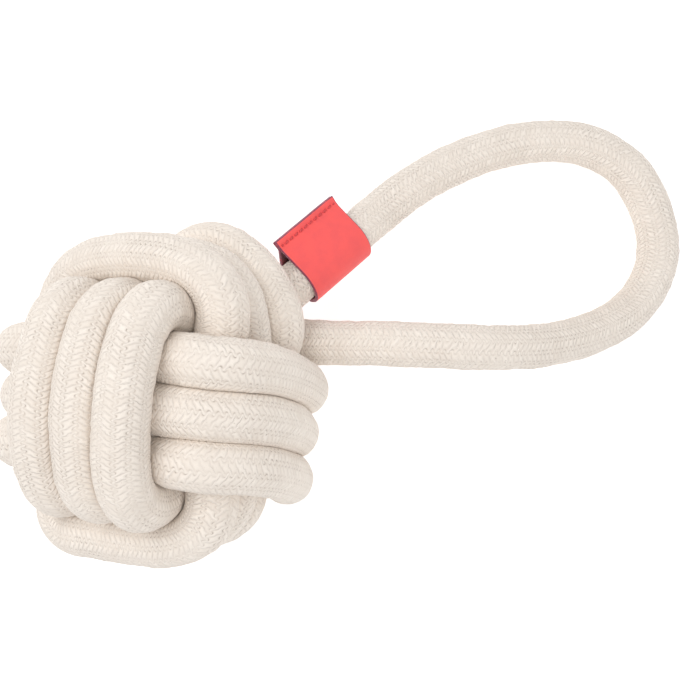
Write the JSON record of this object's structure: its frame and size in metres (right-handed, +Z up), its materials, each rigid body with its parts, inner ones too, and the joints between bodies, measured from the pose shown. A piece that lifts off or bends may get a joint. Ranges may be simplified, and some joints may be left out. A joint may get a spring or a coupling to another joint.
{
  "type": "rope dog toy",
  "caption": "Ball tied from rope round a soft core, with a loop handle of the same rope and a folded leather tab sewn round one leg of the handle.",
  "frame": {"origin": "on the ground, below the middle of the toy's box", "axes": "+Z up, +X from the ball towards the far end of the handle, as the toy lies when it is put down"},
  "size_m": [0.188, 0.1186, 0.0824],
  "materials": {
    "rope": "braided cotton, natural cream with dark flecks",
    "core": "tight wound cotton",
    "leather": "coral, smooth grain with painted edges",
    "thread": "waxed dark red thread"
  },
  "bodies": {
    "rope": {"core": "core", "first_turns": "rope", "second_turns": "rope", "third_turns": "rope", "handle_loop": "rope"},
    "tab": {"leather_tab": "leather", "needle_thread": "thread", "bobbin_thread": "thread"}
  },
  "joints": [
    {"name": "tab_slide", "type": "slide", "parent": "rope", "child": "tab", "axis": [0.7027, 0.6327, -0.3256], "range_m": [0, 0.0105]}
  ]
}
